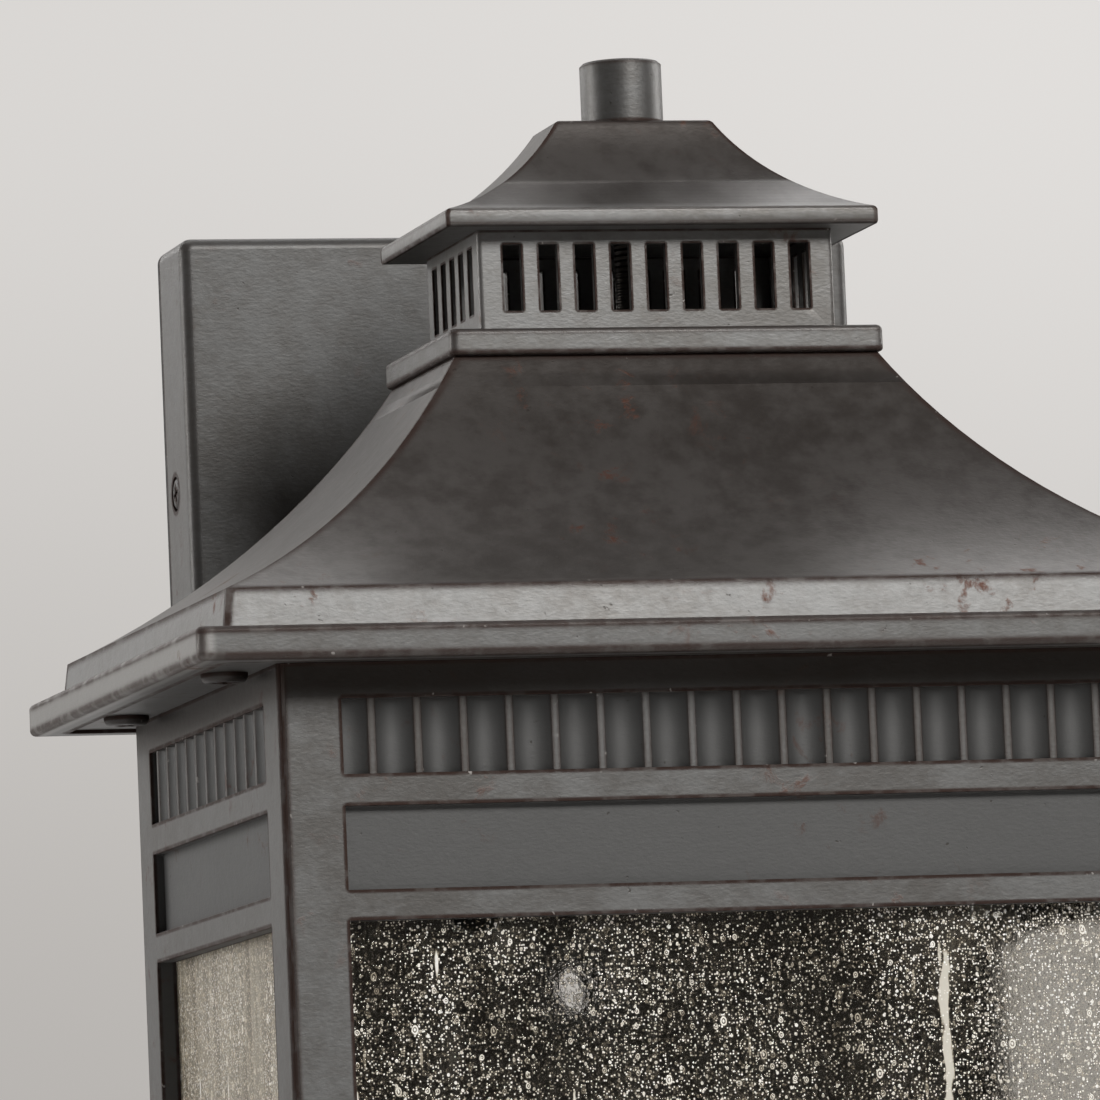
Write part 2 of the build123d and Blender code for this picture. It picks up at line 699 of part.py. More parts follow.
# Screw cap of the lamp: contact, insulator and shell.
cap_tip = socket_floor + 2.6 + cap_fit
cap_top = cap_tip + 5.0 + cap_height
with BuildPart() as lamp_cap:
    with BuildSketch(FRONT):
        with BuildLine():
            Polyline((0, cap_tip), (4.5, cap_tip), (5, cap_tip + 1.5), (10, cap_tip + 5),
                     (cap_radius, cap_tip + 6.5), (cap_radius, cap_top), (0, cap_top), close=True)
        make_face()
    revolve(axis=Axis((0, -axis_reach, 0), (0, 0, 1)))
lamp_cap.part.label = "lamp_cap"
export_step(lamp_cap.part, "parts/lamp_cap.step")

# Glass globe of the lamp: straight neck, flare, ball.
ball_centre = cap_top + 52.0
with BuildPart() as lamp_globe:
    with BuildSketch(FRONT):
        with BuildLine():
            axis_line = Line((0, cap_top), (globe_neck_radius, cap_top))
            neck_line = Line(axis_line @ 1, (globe_neck_radius, cap_top + 10))
            ball = CenterArc((0, ball_centre), globe_radius, -35, 124)
            Spline(neck_line @ 1, ball @ 0, tangents=(neck_line % 1, ball % 0))
            Polyline(ball @ 1, (0, (ball @ 1).Y), (0, cap_top))
        make_face()
    revolve(axis=Axis((0, -axis_reach, 0), (0, 0, 1)))
lamp_globe.part.label = "lamp_globe"
export_step(lamp_globe.part, "parts/lamp_globe.step")

# ===== roof group =============================================================================

# Main roof casting: two-step eave, concave hip, hollow, with a boss for each soffit screw.
hip_outside = concave_hip((eave_step_width, eave_step_depth), (roof_top_width, roof_top_depth),
                          roof_base, roof_rise, roof_sag)
hip_inside = concave_hip(
    (eave_step_width - 2 * roof_wall, eave_step_depth - 2 * roof_wall),
    (roof_top_width - 2 * roof_wall, roof_top_depth - 2 * roof_wall),
    roof_base - roof_wall, roof_rise, roof_sag
)
vent_width = louvre_width - 2 * louvre_wall - 8.0
vent_depth = louvre_depth - 2 * louvre_wall - 8.0
with BuildPart() as roof_shell:
    with BuildSketch(level(roof_base)):
        Rectangle(eave_step_width, eave_step_depth)
    extrude(amount=-eave_upper_height, taper=-eave_upper_lean)
    add(hip_outside)
    with BuildSketch(level(eave_bottom)):
        RectangleRounded(eave_width, eave_depth, eave_corner)
    extrude(amount=eave_lower_height)
    fillet(roof_shell.faces().sort_by(Axis.Z)[0].edges(), radius=eave_round)
    ledges = roof_shell.faces().filter_by(Axis.Z).filter_by_position(
        Axis.Z, eave_ledge - 0.1, eave_ledge + 0.1
    )
    fillet(ledges.sort_by(SortBy.AREA)[-1].outer_wire().edges(), radius=eave_round)
    with BuildSketch(level(eave_bottom)):
        RectangleRounded(rim_inner_width, rim_inner_depth, eave_corner)
    extrude(amount=soffit_top - eave_bottom, mode=Mode.SUBTRACT)
    with BuildSketch(level(soffit_top)):
        Rectangle(eave_step_width - 2 * roof_wall, eave_step_depth - 2 * roof_wall)
    extrude(amount=roof_base - roof_wall - soffit_top, mode=Mode.SUBTRACT)
    add(hip_inside, mode=Mode.SUBTRACT)
    with BuildSketch(level(roof_top)):
        RectangleRounded(vent_width, vent_depth, 2)
    extrude(amount=-2 * roof_wall, mode=Mode.SUBTRACT)
    with BuildSketch(level(soffit_top)):
        with Locations(*soffit_screw_places):
            Circle(boss_diameter / 2)
    extrude(amount=roof_base - soffit_top)
    with BuildSketch(level(soffit_top)):
        with Locations(*soffit_screw_places):
            Circle(m4 / 2 + screw_fit)
    extrude(amount=7.0, mode=Mode.SUBTRACT)
roof_shell.part.label = "roof_shell"
export_step(roof_shell.part, "parts/roof_shell.step")

# Flat ring plate with rolled edges, between roof and louvre box.
with BuildPart() as ring_plate:
    with BuildSketch(level(roof_top)):
        RectangleRounded(ring_width, ring_depth, ring_round)
    extrude(amount=ring_thickness)
    fillet(ring_plate.faces().sort_by(Axis.Z)[-1].edges(), radius=ring_edge)
    fillet(ring_plate.faces().sort_by(Axis.Z)[0].edges(), radius=0.6 * ring_edge)
    with BuildSketch(level(roof_top)):
        RectangleRounded(vent_width, vent_depth, 2)
    extrude(amount=ring_thickness, mode=Mode.SUBTRACT)
ring_plate.part.label = "ring_plate"
export_step(ring_plate.part, "parts/ring_plate.step")

# Louvre box: open top and bottom, slots right through opposite walls.
with BuildPart() as louvre_box:
    with BuildSketch(level(ring_top)):
        RectangleRounded(louvre_width, louvre_depth, 0.8)
        Rectangle(louvre_width - 2 * louvre_wall, louvre_depth - 2 * louvre_wall, mode=Mode.SUBTRACT)
    extrude(amount=louvre_height)
    slot_middle = ring_top + slot_sill + slot_height / 2
    with BuildSketch(FRONT):
        with Locations((0, slot_middle)):
            with GridLocations(slot_pitch, 0, slots_front, 1):
                Rectangle(slot_width, slot_height)
    extrude(amount=louvre_depth, both=True, mode=Mode.SUBTRACT)
    with BuildSketch(SIDE):
        with Locations((0, slot_middle)):
            with GridLocations(slot_pitch, 0, slots_side, 1):
                Rectangle(slot_width, slot_height)
    extrude(amount=louvre_width, both=True, mode=Mode.SUBTRACT)
louvre_box.part.label = "louvre_box"
export_step(louvre_box.part, "parts/louvre_box.step")

# Cupola: thin upright edge and a concave hip, hollow over the louvre box.
cupola_outside = concave_hip((cupola_width, cupola_depth), (cupola_top_width, cupola_top_depth),
                             cupola_base, cupola_rise, cupola_sag)
cupola_inside = concave_hip(
    (louvre_width - 2 * louvre_wall, louvre_depth - 2 * louvre_wall),
    (cupola_top_width - 2 * cupola_wall, cupola_top_depth - 2 * cupola_wall),
    louvre_top, cupola_top - cupola_wall - louvre_top, 0.8 * cupola_sag
)
with BuildPart() as cupola_cap:
    add(cupola_outside)
    with BuildSketch(level(louvre_top)):
        Rectangle(cupola_width, cupola_depth)
    extrude(amount=cupola_fascia)
    add(cupola_inside, mode=Mode.SUBTRACT)
    with BuildSketch(level(cupola_top)):
        Circle(m5 / 2 + rod_fit)
    extrude(amount=-2 * cupola_wall, mode=Mode.SUBTRACT)
cupola_cap.part.label = "cupola_cap"
export_step(cupola_cap.part, "parts/cupola_cap.step")

# Tie rod, its bridge under the roof's vent, and the nut below.
bridge_gauge = 2.5
bridge_top = roof_top - roof_wall
rod_bottom = bridge_top - bridge_gauge - 0.8 * m5 - 1.5
with BuildPart() as tie_rod:
    with BuildSketch(level(rod_bottom)):
        Circle(m5 / 2)
    extrude(amount=cupola_top + knob_height - 4.0 - rod_bottom)
tie_rod.part.label = "tie_rod"
export_step(tie_rod.part, "parts/tie_rod.step")

with BuildPart() as bridge_bar:
    with BuildSketch(level(bridge_top - bridge_gauge)):
        SlotOverall(vent_width + 10.0, 14.0)
        Circle(m5 / 2 + screw_fit, mode=Mode.SUBTRACT)
    extrude(amount=bridge_gauge)
bridge_bar.part.label = "bridge_bar"
export_step(bridge_bar.part, "parts/bridge_bar.step")

rod_nut = hex_nuts(level(bridge_top - bridge_gauge - 0.8 * m5), [(0, 0)], m5)
rod_nut.part.label = "rod_nut"
export_step(rod_nut.part, "parts/rod_nut.step")

# Round knob that screws down on the tie rod and holds the stack together.
with BuildPart() as finial_knob:
    with BuildSketch(level(cupola_top)):
        Circle(knob_diameter / 2)
    extrude(amount=knob_height)
    chamfer(finial_knob.edges().group_by(Axis.Z)[-1], length=0.5)
    with BuildSketch(level(cupola_top)):
        Circle(m5 / 2 + screw_fit)
    extrude(amount=knob_height - 3.0, mode=Mode.SUBTRACT)
finial_knob.part.label = "finial_knob"
export_step(finial_knob.part, "parts/finial_knob.step")
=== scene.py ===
import bpy
import math
from mathutils import Matrix, Vector


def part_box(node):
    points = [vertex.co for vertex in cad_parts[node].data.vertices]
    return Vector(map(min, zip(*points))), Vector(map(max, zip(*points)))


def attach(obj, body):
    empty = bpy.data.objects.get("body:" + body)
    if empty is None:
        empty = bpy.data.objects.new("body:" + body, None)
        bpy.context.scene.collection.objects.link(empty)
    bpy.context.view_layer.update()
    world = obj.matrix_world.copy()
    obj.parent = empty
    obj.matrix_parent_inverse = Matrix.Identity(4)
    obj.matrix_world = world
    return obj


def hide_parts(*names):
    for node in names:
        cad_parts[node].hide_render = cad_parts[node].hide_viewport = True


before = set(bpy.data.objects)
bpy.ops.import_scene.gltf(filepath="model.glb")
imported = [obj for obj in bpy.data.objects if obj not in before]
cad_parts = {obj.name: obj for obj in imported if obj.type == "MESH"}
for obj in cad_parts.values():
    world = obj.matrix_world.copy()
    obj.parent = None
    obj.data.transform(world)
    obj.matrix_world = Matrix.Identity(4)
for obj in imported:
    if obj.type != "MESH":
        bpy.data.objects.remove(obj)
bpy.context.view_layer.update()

# ---- Camera --------------------------------------------------------------------------------------
# A long lens from the lantern's front left, low down and looking slightly up.
# The picture is turned a little clockwise, so the roll is part of the pose.
yaw, pitch, roll = 0.252553, 0.099303, -0.042149
camera_place = (-0.42393, -1.67768, -0.13542)
focal_length, sensor_width, farthest = 309.57, 36.0, 60.0
ahead = Vector((math.sin(yaw) * math.cos(pitch), math.cos(yaw) * math.cos(pitch), math.sin(pitch)))
level_right = Vector((math.cos(yaw), -math.sin(yaw), 0))
level_up = level_right.cross(ahead)
right = math.cos(roll) * level_right + math.sin(roll) * level_up
up = math.cos(roll) * level_up - math.sin(roll) * level_right
pose = Matrix((right, up, -ahead)).transposed().to_4x4()
pose.translation = camera_place
bpy.ops.object.camera_add()
camera = bpy.context.active_object
camera.matrix_world = pose
camera.data.lens = focal_length
camera.data.sensor_width = sensor_width
camera.data.clip_end = farthest
bpy.context.scene.camera = camera
bpy.context.scene.view_settings.view_transform = "Standard"

# ---- Studio --------------------------------------------------------------------------------------
# A pale floor far below and a pale backdrop far behind. The room is dark below, with a light band
# above the horizon and light overhead. The floor shows from above only, so that the lantern can be
# looked at from underneath.


class Shade:
    """An output in a node tree: arithmetic on it adds Math nodes, node() adds any other node."""

    def __init__(self, tree, socket=None):
        self.tree, self.socket = tree, socket

    def node(self, kind, settings=None, sockets=None, out=0):
        made = self.tree.nodes.new(kind)
        for name, value in (settings or {}).items():
            if name == "stops":
                ramp = made.color_ramp
                while len(ramp.elements) < len(value):
                    ramp.elements.new(0.5)
                for element, (place, colour) in zip(ramp.elements, value):
                    element.position, element.color = place, (*colour, 1)
            else:
                setattr(made, name, value)
        for name, value in (sockets or {}).items():
            if isinstance(value, Shade):
                self.tree.links.new(value.socket, made.inputs[name])
            else:
                made.inputs[name].default_value = value
        return Shade(self.tree, made.outputs[out])

    def math(self, operation, a, b=0.0):
        return self.node("ShaderNodeMath", {"operation": operation}, {0: a, 1: b})

    def __add__(self, other):
        return self.math("ADD", self, other)

    def __sub__(self, other):
        return self.math("SUBTRACT", self, other)

    def __rsub__(self, other):
        return self.math("SUBTRACT", other, self)

    def __mul__(self, other):
        return self.math("MULTIPLY", self, other)

    def __abs__(self):
        return self.math("ABSOLUTE", self)

    __radd__ = __add__
    __rmul__ = __mul__

    def larger(self, other):
        return self.math("MAXIMUM", self, other)

    def axis(self, index):
        """One coordinate of this vector: 0, 1 or 2 for X, Y or Z."""
        return self.node("ShaderNodeSeparateXYZ", None, {0: self}, out=index)

    def channel(self, index):
        """One channel of this colour: 0, 1 or 2 for red, green or blue."""
        return self.node("ShaderNodeSeparateColor", None, {0: self}, out=index)

    def step(self, low, high):
        """0 below low, 1 above high, smooth between."""
        return self.node("ShaderNodeMapRange", {"interpolation_type": "SMOOTHSTEP"},
                         {"Value": self, "From Min": low, "From Max": high})

    def blend(self, a, b):
        """Colour a where this is 0, colour b where it is 1."""
        a, b = (c if isinstance(c, Shade) else (*c, 1) for c in (a, b))
        return self.node("ShaderNodeMix", {"data_type": "RGBA"}, {0: self, 6: a, 7: b}, out=2)

    def noise(self, scale, detail=4.0, roughness=0.55, distortion=0.0):
        return self.node("ShaderNodeTexNoise", None, {"Vector": self, "Scale": scale, "Detail": detail,
                                                      "Roughness": roughness, "Distortion": distortion})

    def cells(self, scale, out=0, settings=None):
        """Voronoi cells: out 0 is the distance to a cell's middle, 1 its random colour."""
        return self.node("ShaderNodeTexVoronoi", settings, {"Vector": self, "Scale": scale}, out=out)

    def stretched(self, x, y, z, shift=0.0):
        return self.node("ShaderNodeMapping", None,
                         {"Vector": self, "Scale": (x, y, z), "Location": (shift, shift, shift)})

    def bump(self, strength, distance):
        """A normal that follows this as a height."""
        return self.node("ShaderNodeBump", None, {"Strength": strength, "Distance": distance, "Height": self})

    def principled(self, sockets):
        return self.node("ShaderNodeBsdfPrincipled", None, sockets)


def material(name):
    """An empty material's Object coordinates and a call that closes it with a shader."""
    made = bpy.data.materials.new(name)
    made.use_nodes = True
    made.node_tree.nodes.clear()
    tree = made.node_tree
    place = Shade(tree).node("ShaderNodeTexCoord", out=3)

    def close(shader):
        output = tree.nodes.new("ShaderNodeOutputMaterial")
        tree.links.new(shader.socket, output.inputs["Surface"])
        return made

    return place, close


world = bpy.data.worlds.new("studio")
bpy.context.scene.world = world
world.use_nodes = True
world.node_tree.nodes.clear()
sky = Shade(world.node_tree)
height = sky.node("ShaderNodeTexCoord").axis(2) * 0.5 + 0.5
greys = ((0.0, 0.03), (0.52, 0.03), (0.60, 0.10), (0.66, 0.32), (0.76, 0.28), (0.84, 0.07))
overhead = (0.95, (0.52, 0.52, 0.53))
stops = [(place, (grey, grey, grey)) for place, grey in greys] + [overhead]
glow = height.node("ShaderNodeValToRGB", {"stops": stops}, {"Fac": height})
room = glow.node("ShaderNodeBackground", None, {"Color": glow, "Strength": 1.0})
world.node_tree.links.new(room.socket, world.node_tree.nodes.new("ShaderNodeOutputWorld").inputs[0])

lantern_middle = Vector((0, -0.1, -0.02))


def soft_light(name, place, size, power):
    """A square soft box that faces the lantern."""
    bpy.ops.object.light_add(type="AREA", location=place)
    lamp = bpy.context.active_object
    lamp.name = name
    lamp.data.size = size
    lamp.data.energy = power
    lamp.rotation_euler = (lantern_middle - Vector(place)).to_track_quat("-Z", "Y").to_euler()


soft_light("front_box", (0.75, -2.8, 1.5), 0.95, 72.0)
soft_light("front_right_box", (1.7, -2.3, 1.35), 1.0, 22.0)
soft_light("left_box", (-3.0, 1.0, 0.5), 1.2, 44.0)
soft_light("left_back_box", (-1.5, 2.5, 1.15), 1.1, 18.0)
soft_light("high_left_box", (-1.2, 2.6, 2.6), 1.2, 18.0)
soft_light("right_box", (2.6, 0.6, 0.9), 1.2, 38.0)
soft_light("top_box", (-0.2, 0.7, 2.6), 1.1, 13.0)
soft_light("back_box", (1.0, 1.6, 2.0), 1.1, 14.0)

floor_height, floor_radius = -0.9, 14
bpy.ops.mesh.primitive_circle_add(vertices=96, radius=floor_radius, fill_type="NGON",
                                  location=(0, 0, floor_height))
floor = bpy.context.active_object
floor.name = "floor"
place, close = material("pale_floor")
below = place.node("ShaderNodeNewGeometry", out=6)
paint = place.node("ShaderNodeBsdfDiffuse", None, {"Color": (0.72, 0.71, 0.70, 1)})
gone = place.node("ShaderNodeBsdfTransparent")
floor.data.materials.append(close(place.node("ShaderNodeMixShader", None, {0: below, 1: paint, 2: gone})))

backdrop_place, backdrop_size, backdrop_stretch = (1.6, 7.0, 1.0), 7, 2.8
bpy.ops.mesh.primitive_grid_add(x_subdivisions=8, y_subdivisions=8, size=backdrop_size,
                                location=backdrop_place, rotation=(math.radians(90), 0, 0))
backdrop = bpy.context.active_object
backdrop.scale = (backdrop_stretch, 1, 1)
bpy.ops.object.select_all(action="DESELECT")
backdrop.select_set(True)
bpy.ops.object.transform_apply(location=False, rotation=False)
backdrop.name = "backdrop"
place, close = material("pale_backdrop")
across = place.axis(0).step(-0.35, 0.8)
rise = place.axis(1).step(-0.85, 0.30)
tone = (0.2 * across + 0.8 * rise).blend((0.475, 0.455, 0.435), (0.755, 0.735, 0.715))
glowing = place.node("ShaderNodeEmission", None, {"Color": tone, "Strength": 1.0})
backdrop.data.materials.append(close(glowing))

# ---- Wall plate ----------------------------------------------------------------------------------
# A deep cast box that stands against the wall, closed all round its front and sides.
# Cast metal with dark bronze paint; the arrises are rubbed through to a red brown, and their dark line
# is partly painted shade on the rounded edges. Places at which the paint changes are heights, or
# distances from the centre line.
mm = 0.001
centre_y = -97.975 * mm                     # the lantern's upright centre line; the wall is y = 0
# The third colour darkens the fine pits and is also the painted shadow under the eave.
BRONZE, CLOUD, SOOT_AND_SHADE = (0.116, 0.114, 0.110), (0.078, 0.073, 0.067), (0.020, 0.014, 0.010)
# The second colour darkens the arrises: partly rubbed-through paint, partly painted shade along the rounded
# edges.
RUST, RUBBED_AND_SHADE, BARE = (0.085, 0.030, 0.016), (0.026, 0.012, 0.008), (0.30, 0.28, 0.26)
# The last colour paints the eave's ends lighter: a painted highlight.
SLOPE_DARK, SLOPE_LIGHT, EAVE_END_HIGHLIGHT = (0.033, 0.027, 0.023), (0.058, 0.051, 0.046), (0.200, 0.194, 0.184)
# The walls' inside is painted a dark brown: painted shade inside the lantern.
INSIDE_SHADE_DARK, INSIDE_SHADE_LIGHT = (0.012, 0.008, 0.005), (0.030, 0.022, 0.015)
# The sunk panels are painted darker than the paint beside them: painted shade in the recess.
panel_shade_tone = 0.66                           # of the paint beside it
panel_x, panel_y = 78.0 * mm, 57.3 * mm     # a face farther in than this is a sunk panel
inner_x, inner_y = 75.1 * mm, 54.4 * mm     # and farther in than this, the inside
face_fade = 0.4 * mm
# Heights over which a painted shadow darkens each wall towards the eave above it.
eave_shadow_from, eave_shadow_full = -4.5 * mm, -0.5 * mm
# Where the eave's ends begin to be painted lighter as a painted highlight, and how softly.
slope_fade, eave_highlight_x, eave_highlight_fade = 1.2 * mm, 91.5 * mm, 1.5 * mm


def bronze(name, shift, tone=1.0, freckles=0.6, arris=0.8 * mm, slope=None, wall=False):
    """Aged bronze paint on cast metal: cloudy tone, fine pits, rust freckles, arrises rubbed and painted with
    shade.

    arris is how far the rubbing reaches in from an edge; the dark line there is partly rubbed paint and
    partly painted shade on the rounded edge. slope is the height above which the paint is dark brown,
    but for an eave's ends, painted lighter as a painted highlight. On a wall the sunk panels are darker,
    a painted shade, a painted shadow darkens the wall under the eave, and the inside is a dark brown
    that is painted shade."""
    place, close = material(name)
    moved = place.stretched(1, 1, 1, shift)
    cloud = moved.noise(24, 5, 0.6)
    mottle = moved.noise(240, 3, 0.6)
    fine = moved.noise(520, 3, 0.6)
    grain = moved.stretched(1, 1, 2.2).noise(900, 3, 0.6)
    speck = moved.noise(150, 6, 0.72, 0.4).step(0.57, 0.70) * moved.noise(22, 2).step(0.48, 0.62)
    depth = place.node("ShaderNodeAmbientOcclusion", {"samples": 8, "inside": True, "only_local": True},
                       {"Distance": arris}, out=1)
    edge = (1.0 - depth).step(0.03, 0.15)
    # The arris mask: partly rubbed paint, partly a painted shade line along the rounded edges.
    rubbed_and_shaded = edge * (0.6 + 0.4 * mottle.step(0.35, 0.55))
    nick = edge * moved.noise(760, 1).step(0.74, 0.78)
    pit = moved.noise(620, 2, 0.6).step(0.72, 0.80)
    light, dark = (tuple(tone * c for c in colour) for colour in (BRONZE, CLOUD))
    colour = (0.5 * cloud + 0.3 * mottle + 0.2 * grain).step(0.36, 0.62).blend(dark, light)
    height = place.axis(2)
    if slope:
        slope_colour = (0.5 * cloud + 0.5 * mottle).step(0.36, 0.62).blend(SLOPE_DARK, SLOPE_LIGHT)
        colour = height.step(slope, slope + slope_fade).blend(colour, slope_colour)
        # The eave's ends painted lighter: a painted highlight.
        eave_end_highlight = abs(place.axis(0)).step(eave_highlight_x, eave_highlight_x + eave_highlight_fade)
        colour = (0.95 * eave_end_highlight).blend(colour, EAVE_END_HIGHLIGHT)
    if wall:
        side, out = abs(place.axis(0)), abs(place.axis(1) - centre_y)
        face = side.step(panel_x, panel_x + face_fade).larger(out.step(panel_y, panel_y + face_fade))
        # Sunk panels painted darker: painted shade.
        colour = (1.0 - face).blend(colour, tuple(panel_shade_tone * c for c in light))
        # A painted shadow of the eave across the top of each wall.
        colour = (0.8 * height.step(eave_shadow_from, eave_shadow_full)).blend(colour, SOOT_AND_SHADE)
    colour = (speck * freckles).blend(colour, RUST)
    # Arrises darkened: rubbed paint and painted shade.
    colour = (rubbed_and_shaded * 0.95).blend(colour, RUBBED_AND_SHADE)
    colour = (pit * 0.6).blend(colour, SOOT_AND_SHADE)
    colour = (nick * 0.7).blend(colour, BARE)
    rough = 0.34 + 0.12 * cloud + 0.08 * fine + 0.2 * speck + 0.28 * rubbed_and_shaded
    if wall:
        outer = side.step(inner_x, inner_x + face_fade), out.step(inner_y, inner_y + face_fade)
        inside = (1.0 - outer[0]) * (1.0 - outer[1])
        # The inside painted dark brown: painted shade.
        colour = inside.blend(colour, cloud.blend(INSIDE_SHADE_DARK, INSIDE_SHADE_LIGHT))
        rough = rough + 0.14 * (1.0 - face)
    relief = 0.4 * fine + 0.5 * grain - 0.7 * pit + 0.5 * speck - 0.4 * nick
    return close(place.principled({
        "Base Color": colour, "Roughness": rough, "Metallic": 0.72, "Normal": relief.bump(0.16, 0.4 * mm)}))


merge_distance, flat_angle = 0.002 * mm, math.radians(0.4)


def tidy_copy(node, name):
    """A merged copy of a CAD node: doubles removed and flat areas made whole faces."""
    piece = bpy.data.objects.new(name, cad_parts[node].data.copy())
    bpy.context.collection.objects.link(piece)
    bpy.ops.object.select_all(action="DESELECT")
    piece.select_set(True)
    bpy.context.view_layer.objects.active = piece
    piece.data.materials.clear()
    bpy.ops.mesh.customdata_custom_splitnormals_clear()
    bpy.ops.object.mode_set(mode="EDIT")
    bpy.ops.mesh.select_all(action="SELECT")
    bpy.ops.mesh.remove_doubles(threshold=merge_distance)
    bpy.ops.mesh.dissolve_limited(angle_limit=flat_angle)
    bpy.ops.object.mode_set(mode="OBJECT")
    return piece


sharp, smooth, shortest_arris = math.radians(32), math.radians(50), 4 * mm


def casting(node, name, body, roll, finish):
    """A cast piece at the CAD's size, its long arrises rolled over by a small bevel.

    Short edges stay sharp, because a bevel there folds the large flat faces over their holes."""
    piece = tidy_copy(node, name)
    bpy.ops.object.mode_set(mode="EDIT")
    bpy.ops.mesh.select_mode(type="EDGE")
    bpy.ops.mesh.select_all(action="DESELECT")
    bpy.ops.mesh.edges_select_sharp(sharpness=sharp)
    bpy.ops.object.mode_set(mode="OBJECT")
    weights = piece.data.attributes.new("bevel_weight_edge", "FLOAT", "EDGE")
    for edge, weight in zip(piece.data.edges, weights.data):
        start, end = (piece.data.vertices[v].co for v in edge.vertices)
        weight.value = float(edge.select and (end - start).length > shortest_arris)
    rounding = piece.modifiers.new("arris", "BEVEL")
    rounding.width, rounding.segments, rounding.limit_method = roll, 2, "WEIGHT"
    bpy.ops.object.modifier_apply(modifier="arris")
    bpy.ops.object.shade_smooth_by_angle(angle=smooth)
    flats = piece.modifiers.new("flats", "WEIGHTED_NORMAL")
    flats.mode, flats.weight, flats.keep_sharp = "FACE_AREA", 50, True
    bpy.ops.object.modifier_apply(modifier="flats")
    piece.data.materials.append(finish)
    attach(piece, body)
    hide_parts(node)


casting("wall_plate", "plate_shell", "lantern", 0.5 * mm,
        bronze("plate_bronze", 0.3, tone=0.75, arris=1.1 * mm))

# ---- Foam seal and bracket -----------------------------------------------------------------------
# A foam strip seals the plate's rim to the wall. Inside, a pressed steel channel is screwed to the
# junction box; it is zinc plated, with the plating's faint large crystals.
place, close = material("foam")
cells = place.cells(1500.0)
shade = cells.step(0.1, 0.7).blend((0.035, 0.035, 0.034), (0.018, 0.018, 0.018))
foam = close(place.principled({
    "Base Color": shade, "Roughness": 0.92, "Normal": cells.bump(0.6, 0.4 * mm)}))


def steel(name, tone, thread=0.0):
    """Zinc-plated steel, or the same with a thread's fine rings."""
    place, close = material(name)
    flake = place.cells(240.0, out=1).channel(0)
    scratch = place.stretched(1, 1, 22).noise(160, 4, 0.6)
    colour = (0.6 * flake + 0.4 * scratch).blend(tuple(0.82 * c for c in tone), tone)
    rough = 0.26 + 0.14 * flake + 0.12 * scratch
    height, strength = scratch, 0.08
    if thread:
        ring = place.node("ShaderNodeTexWave", {"bands_direction": "Z"},
                          {"Vector": place, "Scale": thread, "Distortion": 0.0})
        height, strength = 0.2 * scratch + ring, 0.5
    relief = height.bump(strength, 0.5 * mm)
    return close(place.principled({
        "Base Color": colour, "Roughness": rough, "Metallic": 1.0, "Normal": relief}))


def dress(node, finish):
    """A CAD node that keeps its own mesh and gets a real finish."""
    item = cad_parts[node]
    for slot in item.material_slots:
        slot.material = finish


zinc = steel("zinc_plate", (0.60, 0.60, 0.59))
dress("wall_gasket", foam)
dress("mounting_bracket", zinc)

# ---- Screws --------------------------------------------------------------------------------------
# Pan-head screws with a cross recess. One is modelled for each size, then copied to its holes.
# Bronze-painted ones show outside; the earth screw has green enamel; the rest are zinc plated.
# A low tone paints these screws much darker than the lantern: painted shade, as on the screws under the
# soffit.
screw_bronze = bronze("screw_bronze", 1.7, tone=0.35, freckles=0.9)


def pan_head(name, thread, length, finish):
    """A screw that stands on the XY plane at the origin, head up, shank down."""
    head_radius, head_height, rounding = thread, 0.4 * thread, 0.3 * thread
    recess_long, recess_narrow = head_radius, 0.22 * head_radius
    bpy.ops.object.select_all(action="DESELECT")
    bpy.ops.mesh.primitive_cylinder_add(vertices=32, radius=head_radius, depth=head_height,
                                        location=(0, 0, head_height / 2))
    screw = bpy.context.active_object
    screw.name = name
    bpy.ops.object.transform_apply()
    bpy.ops.object.mode_set(mode="EDIT")
    bpy.ops.mesh.select_all(action="DESELECT")
    bpy.ops.object.mode_set(mode="OBJECT")
    for edge in screw.data.edges:
        edge.select = all(screw.data.vertices[v].co.z > head_height / 2 for v in edge.vertices)
    bpy.ops.object.mode_set(mode="EDIT")
    bpy.ops.mesh.bevel(offset=rounding, segments=4)
    bpy.ops.object.mode_set(mode="OBJECT")
    for wide, deep in ((recess_long, recess_narrow), (recess_narrow, recess_long)):
        bpy.ops.mesh.primitive_cube_add(size=1, location=(0, 0, head_height))
        slot = bpy.context.active_object
        slot.scale = (wide, deep, head_height)
        bpy.ops.object.transform_apply(location=False)
        cut = screw.modifiers.new("recess", "BOOLEAN")
        cut.operation, cut.object = "DIFFERENCE", slot
        bpy.ops.object.select_all(action="DESELECT")
        screw.select_set(True)
        bpy.context.view_layer.objects.active = screw
        bpy.ops.object.modifier_apply(modifier="recess")
        bpy.data.objects.remove(slot)
    bpy.ops.mesh.primitive_cylinder_add(vertices=20, radius=thread / 2, depth=length,
                                        location=(0, 0, -length / 2))
    screw.select_set(True)
    bpy.context.view_layer.objects.active = screw
    bpy.ops.object.join()
    bpy.ops.object.shade_smooth_by_angle(angle=math.radians(34))
    screw.data.materials.clear()
    screw.data.materials.append(finish)
    return screw


first_turn, next_turn = 0.3, 0.7            # each recess stands at its own angle, in radians


